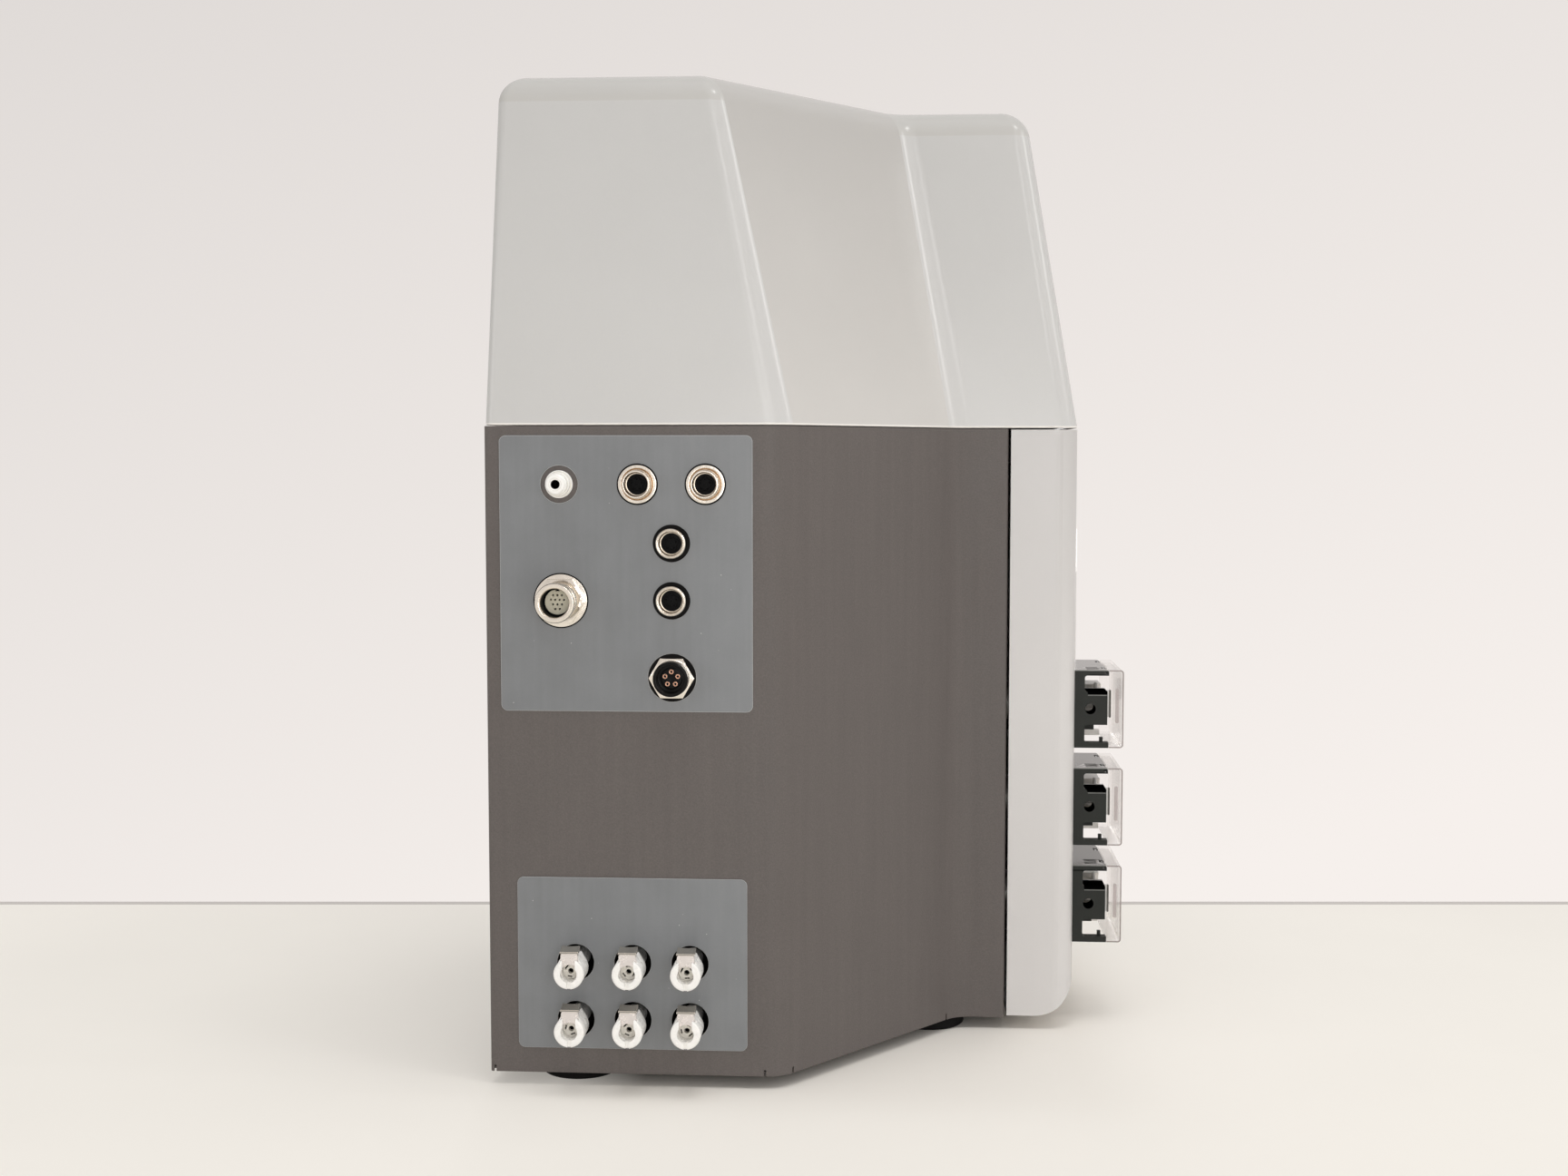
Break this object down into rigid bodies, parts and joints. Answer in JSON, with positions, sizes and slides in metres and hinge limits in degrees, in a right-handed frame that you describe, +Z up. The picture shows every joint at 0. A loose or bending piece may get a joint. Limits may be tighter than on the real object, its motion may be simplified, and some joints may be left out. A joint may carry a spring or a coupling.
{
  "type": "bench bioreactor control cabinet",
  "caption": "Bent-sheet control cabinet with a moulded hood and front, a slanted vessel bay, a side panel of probe sockets and water couplings, and stacked peristaltic pumps.",
  "frame": {"origin": "middle of the bounding box, on the surface that it stands on", "axes": "+X from the rear to the front with the pumps and the screen, +Y from the side with the ports across the cabinet, +Z up"},
  "size_m": [0.455, 0.41, 0.6946],
  "materials": {
    "dark_paint": "fine textured, satin",
    "white_moulding": "satin",
    "printed_plate": "satin",
    "rubber": "matte",
    "white_plastic": "semi-gloss",
    "black_plastic": "matte",
    "cream_plastic": "matte",
    "clear_plastic": "clear",
    "nickel": "satin nickel",
    "sheet_steel": "brushed",
    "screen": "gloss",
    "circuit_board": "matte"
  },
  "bodies": {
    "cabinet": {"left_side_panel": "dark_paint", "right_side_panel": "dark_paint", "rear_panel": "dark_paint", "base_plate": "dark_paint", "feet": "rubber", "hood": "white_moulding", "front_fascia": "white_moulding", "upper_port_plate": "printed_plate", "lower_port_plate": "printed_plate", "sparge_fitting": "white_plastic", "do_socket": "nickel", "ph_socket": "nickel", "foam_level_socket": "nickel", "temperature_socket": "nickel", "sensor_socket_inserts": "black_plastic", "motor_socket": "nickel", "motor_socket_nut": "nickel", "motor_socket_insert": "cream_plastic", "heater_socket": "black_plastic", "heater_socket_nut": "nickel", "coupling_bracket": "sheet_steel", "water_in_coupling": "white_plastic", "drain_coupling": "white_plastic", "condenser_in_coupling": "white_plastic", "condenser_return_coupling": "white_plastic", "cool_loop_in_coupling": "white_plastic", "cool_loop_return_coupling": "white_plastic", "pump_1_body": "black_plastic", "pump_2_body": "black_plastic", "pump_3_body": "black_plastic", "pump_motors": "sheet_steel", "touch_screen": "screen", "rotameter_block": "clear_plastic", "mains_inlet": "black_plastic", "power_supply": "sheet_steel", "control_board": "circuit_board"},
    "pump_1_cover": {"pump_1_cover": "clear_plastic"},
    "pump_1_rotor": {"pump_1_rotor": "black_plastic"},
    "pump_1_roller_1": {"pump_1_roller_1": "sheet_steel"},
    "pump_1_roller_2": {"pump_1_roller_2": "sheet_steel"},
    "pump_1_roller_3": {"pump_1_roller_3": "sheet_steel"},
    "pump_2_cover": {"pump_2_cover": "clear_plastic"},
    "pump_2_rotor": {"pump_2_rotor": "black_plastic"},
    "pump_2_roller_1": {"pump_2_roller_1": "sheet_steel"},
    "pump_2_roller_2": {"pump_2_roller_2": "sheet_steel"},
    "pump_2_roller_3": {"pump_2_roller_3": "sheet_steel"},
    "pump_3_cover": {"pump_3_cover": "clear_plastic"},
    "pump_3_rotor": {"pump_3_rotor": "black_plastic"},
    "pump_3_roller_1": {"pump_3_roller_1": "sheet_steel"},
    "pump_3_roller_2": {"pump_3_roller_2": "sheet_steel"},
    "pump_3_roller_3": {"pump_3_roller_3": "sheet_steel"},
    "water_in_latch": {"water_in_latch": "sheet_steel"},
    "drain_latch": {"drain_latch": "sheet_steel"},
    "condenser_in_latch": {"condenser_in_latch": "sheet_steel"},
    "condenser_return_latch": {"condenser_return_latch": "sheet_steel"},
    "cool_loop_in_latch": {"cool_loop_in_latch": "sheet_steel"},
    "cool_loop_return_latch": {"cool_loop_return_latch": "sheet_steel"},
    "power_rocker": {"power_rocker": "black_plastic"},
    "rotameter_knob": {"rotameter_knob": "black_plastic"},
    "rotameter_ball": {"rotameter_ball": "black_plastic"}
  },
  "joints": [
    {"name": "pump_1_cover_hinge", "type": "hinge", "parent": "cabinet", "child": "pump_1_cover", "pos_m": [0.2142, 0.0297, 0.2715], "axis": [0, -1, 0], "range_deg": [0, 90]},
    {"name": "pump_1_rotor_spin", "type": "hinge", "parent": "cabinet", "child": "pump_1_rotor", "pos_m": [0.2001, 0.0297, 0.2438], "axis": [1, 0, 0], "continuous": true},
    {"name": "pump_1_roller_1_spin", "type": "hinge", "parent": "pump_1_rotor", "child": "pump_1_roller_1", "pos_m": [0.2046, 0.0297, 0.233], "axis": [1, 0, 0], "continuous": true},
    {"name": "pump_1_roller_2_spin", "type": "hinge", "parent": "pump_1_rotor", "child": "pump_1_roller_2", "pos_m": [0.2046, 0.03905, 0.2492], "axis": [1, 0, 0], "continuous": true},
    {"name": "pump_1_roller_3_spin", "type": "hinge", "parent": "pump_1_rotor", "child": "pump_1_roller_3", "pos_m": [0.2046, 0.02035, 0.2492], "axis": [1, 0, 0], "continuous": true},
    {"name": "pump_2_cover_hinge", "type": "hinge", "parent": "cabinet", "child": "pump_2_cover", "pos_m": [0.2142, 0.0297, 0.1964], "axis": [0, -1, 0], "range_deg": [0, 90]},
    {"name": "pump_2_rotor_spin", "type": "hinge", "parent": "cabinet", "child": "pump_2_rotor", "pos_m": [0.2001, 0.0297, 0.1687], "axis": [1, 0, 0], "continuous": true},
    {"name": "pump_2_roller_1_spin", "type": "hinge", "parent": "pump_2_rotor", "child": "pump_2_roller_1", "pos_m": [0.2046, 0.0297, 0.1579], "axis": [1, 0, 0], "continuous": true},
    {"name": "pump_2_roller_2_spin", "type": "hinge", "parent": "pump_2_rotor", "child": "pump_2_roller_2", "pos_m": [0.2046, 0.03905, 0.1741], "axis": [1, 0, 0], "continuous": true},
    {"name": "pump_2_roller_3_spin", "type": "hinge", "parent": "pump_2_rotor", "child": "pump_2_roller_3", "pos_m": [0.2046, 0.02035, 0.1741], "axis": [1, 0, 0], "continuous": true},
    {"name": "pump_3_cover_hinge", "type": "hinge", "parent": "cabinet", "child": "pump_3_cover", "pos_m": [0.2142, 0.0297, 0.1213], "axis": [0, -1, 0], "range_deg": [0, 90]},
    {"name": "pump_3_rotor_spin", "type": "hinge", "parent": "cabinet", "child": "pump_3_rotor", "pos_m": [0.2001, 0.0297, 0.0936], "axis": [1, 0, 0], "continuous": true},
    {"name": "pump_3_roller_1_spin", "type": "hinge", "parent": "pump_3_rotor", "child": "pump_3_roller_1", "pos_m": [0.2046, 0.0297, 0.0828], "axis": [1, 0, 0], "continuous": true},
    {"name": "pump_3_roller_2_spin", "type": "hinge", "parent": "pump_3_rotor", "child": "pump_3_roller_2", "pos_m": [0.2046, 0.03905, 0.099], "axis": [1, 0, 0], "continuous": true},
    {"name": "pump_3_roller_3_spin", "type": "hinge", "parent": "pump_3_rotor", "child": "pump_3_roller_3", "pos_m": [0.2046, 0.02035, 0.099], "axis": [1, 0, 0], "continuous": true},
    {"name": "water_in_latch_press", "type": "slide", "parent": "cabinet", "child": "water_in_latch", "axis": [0, 0, -1], "range_m": [0, 0.002], "stiffness_N_per_m": 400, "springref_m": -0.002},
    {"name": "drain_latch_press", "type": "slide", "parent": "cabinet", "child": "drain_latch", "axis": [0, 0, -1], "range_m": [0, 0.002], "stiffness_N_per_m": 400, "springref_m": -0.002},
    {"name": "condenser_in_latch_press", "type": "slide", "parent": "cabinet", "child": "condenser_in_latch", "axis": [0, 0, -1], "range_m": [0, 0.002], "stiffness_N_per_m": 400, "springref_m": -0.002},
    {"name": "condenser_return_latch_press", "type": "slide", "parent": "cabinet", "child": "condenser_return_latch", "axis": [0, 0, -1], "range_m": [0, 0.002], "stiffness_N_per_m": 400, "springref_m": -0.002},
    {"name": "cool_loop_in_latch_press", "type": "slide", "parent": "cabinet", "child": "cool_loop_in_latch", "axis": [0, 0, -1], "range_m": [0, 0.002], "stiffness_N_per_m": 400, "springref_m": -0.002},
    {"name": "cool_loop_return_latch_press", "type": "slide", "parent": "cabinet", "child": "cool_loop_return_latch", "axis": [0, 0, -1], "range_m": [0, 0.002], "stiffness_N_per_m": 400, "springref_m": -0.002},
    {"name": "power_rocker_rock", "type": "hinge", "parent": "cabinet", "child": "power_rocker", "pos_m": [-0.219, 0.11, 0.096], "axis": [0, -1, 0], "range_deg": [0, 16]},
    {"name": "rotameter_knob_turn", "type": "hinge", "parent": "cabinet", "child": "rotameter_knob", "pos_m": [0.2081, 0.15, 0.2398], "axis": [1, 0, 0], "range_deg": [0, 720]},
    {"name": "rotameter_ball_float", "type": "slide", "parent": "cabinet", "child": "rotameter_ball", "axis": [0, 0, 1], "range_m": [0, 0.088]}
  ]
}
